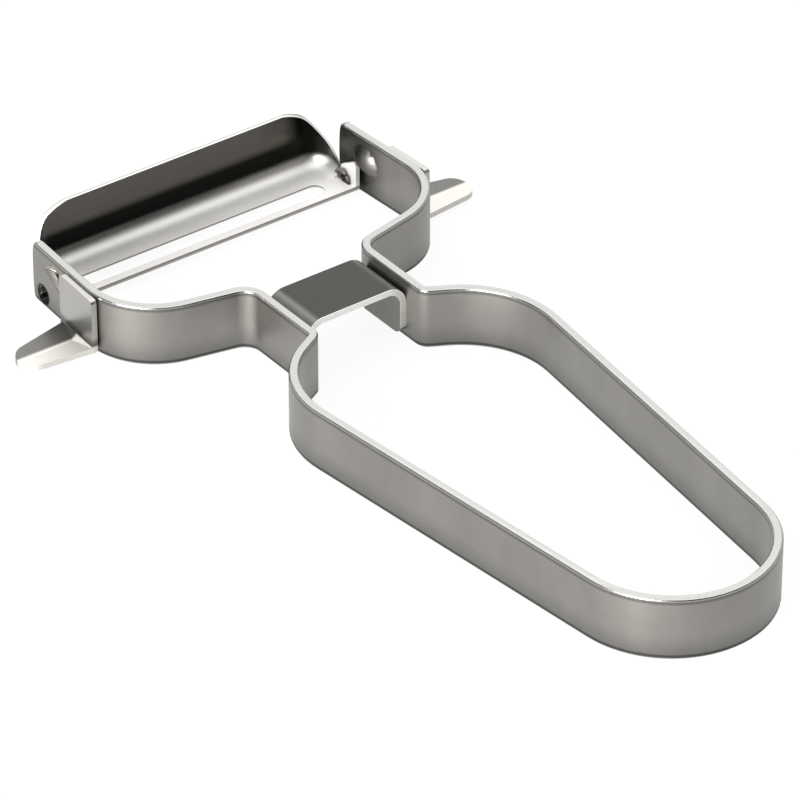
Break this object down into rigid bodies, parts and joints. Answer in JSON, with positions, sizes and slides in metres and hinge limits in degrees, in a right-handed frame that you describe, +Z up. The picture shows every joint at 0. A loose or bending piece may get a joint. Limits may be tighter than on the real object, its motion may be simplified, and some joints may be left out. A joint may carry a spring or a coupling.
{
  "type": "vegetable peeler",
  "caption": "All-steel Y-shaped vegetable peeler with a looped strip handle, a hooded swivelling blade held between two arms and an eye remover on each arm.",
  "frame": {"origin": "under the middle of the tool, on the surface that it lies on", "axes": "+X across the blade to the right arm, +Y from the round end of the handle to the blade's hood, +Z up"},
  "size_m": [0.0814, 0.1334, 0.0115],
  "materials": {
    "band_steel": "satin, with tumbled edges",
    "bridge_steel": "satin",
    "blade_steel": "polished",
    "ear_steel": "satin"
  },
  "bodies": {
    "frame": {"frame_band": "band_steel", "bridge": "bridge_steel", "eye_remover_left": "ear_steel", "eye_remover_right": "ear_steel"},
    "blade": {"blade": "blade_steel"}
  },
  "joints": [
    {"name": "blade_swivel", "type": "hinge", "parent": "frame", "child": "blade", "pos_m": [0, 0.05915, 0.0021], "axis": [1, 0, 0], "range_deg": [0, 60]}
  ]
}
